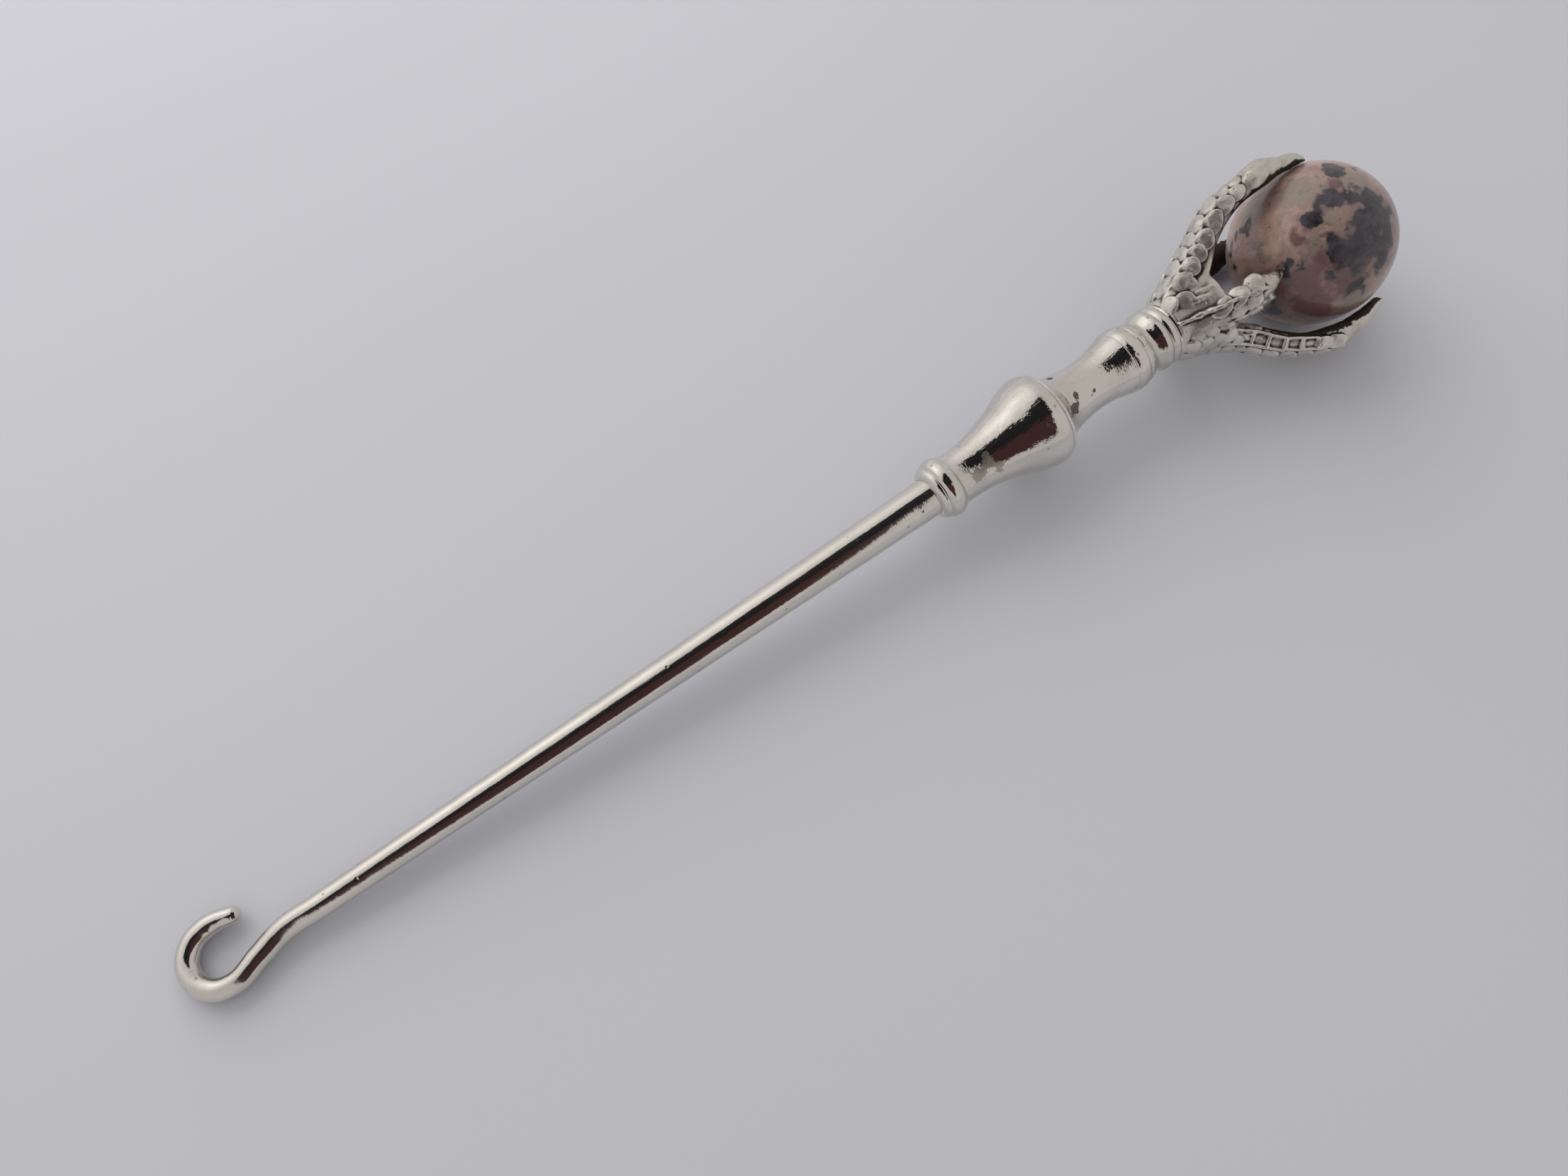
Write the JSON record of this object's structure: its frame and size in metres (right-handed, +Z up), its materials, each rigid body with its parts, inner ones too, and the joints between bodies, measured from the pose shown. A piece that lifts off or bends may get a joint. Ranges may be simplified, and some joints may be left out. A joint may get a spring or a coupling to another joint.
{
  "type": "button hook",
  "caption": "Hand button hook: small open hook on a tapered shaft, turned handle, and a cast claw with scaled toes gripping a polished stone ball.",
  "frame": {"origin": "centre of the bounding box at table level, with the piece lying at rest on the ball, one toe and the hook's bend", "axes": "+X from the hook towards the stone ball, +Z up from the table, +Y the side that the hook opens to"},
  "size_m": [0.172, 0.0236, 0.0206],
  "materials": {
    "plated_steel": "polished nickel plate on a forged steel rod, satin at the hook",
    "plated_casting": "glossy nickel plate on a cast brass handle, with small pits",
    "claw_casting": "satin nickel plate on a cast brass claw, dark in the grooves",
    "pitch": "dark resin filling, unseen",
    "granite": "polished granite, salmon with black and grey grains"
  },
  "bodies": {
    "root": {"hook_shaft": "plated_steel", "handle": "plated_casting", "tang_cement": "pitch", "claw": "claw_casting", "stone_ball": "granite"}
  },
  "joints": []
}
